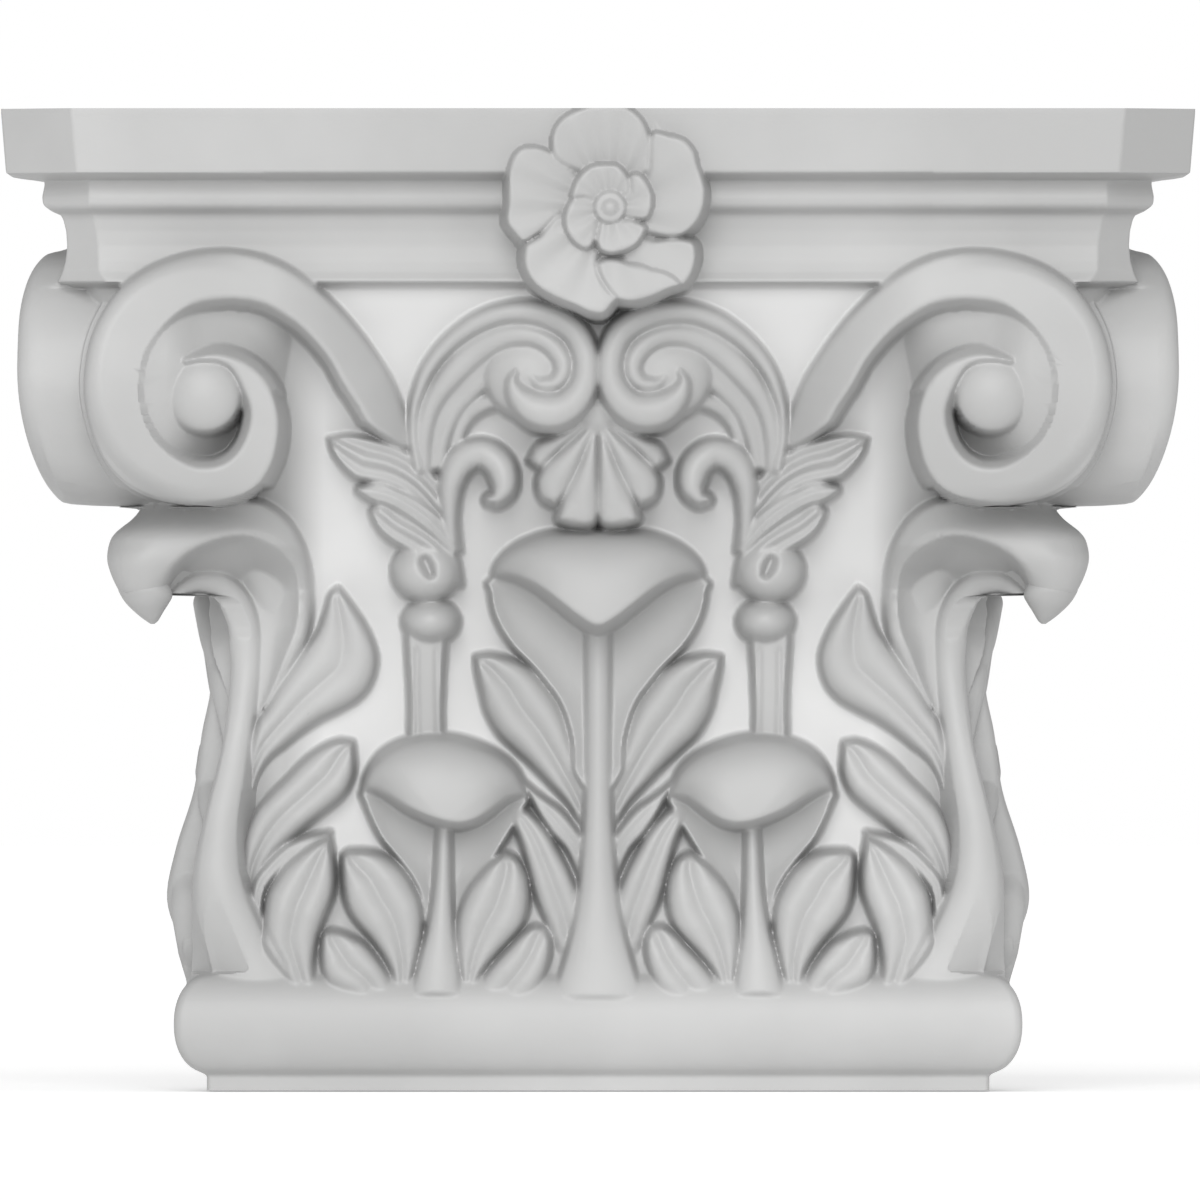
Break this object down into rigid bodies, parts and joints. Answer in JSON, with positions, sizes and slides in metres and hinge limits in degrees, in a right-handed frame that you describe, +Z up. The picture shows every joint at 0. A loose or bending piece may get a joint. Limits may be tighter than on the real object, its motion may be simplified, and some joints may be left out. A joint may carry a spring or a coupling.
{
  "type": "corinthian pilaster capital",
  "caption": "Pilaster capital with a moulded abacus, corner scrolls, acanthus leaves, a rosette and a round foot moulding, flat behind, above and below.",
  "frame": {"origin": "centre of the flat underside, where the capital rests on its pilaster", "axes": "+Z up, -Y the carved front, +Y the flat back, +X to the right seen from the front"},
  "size_m": [0.311, 0.1115, 0.256],
  "materials": {
    "primed_foam": "matte white primer over moulded polyurethane foam"
  },
  "bodies": {
    "root": {"capital": "primed_foam"}
  },
  "joints": []
}
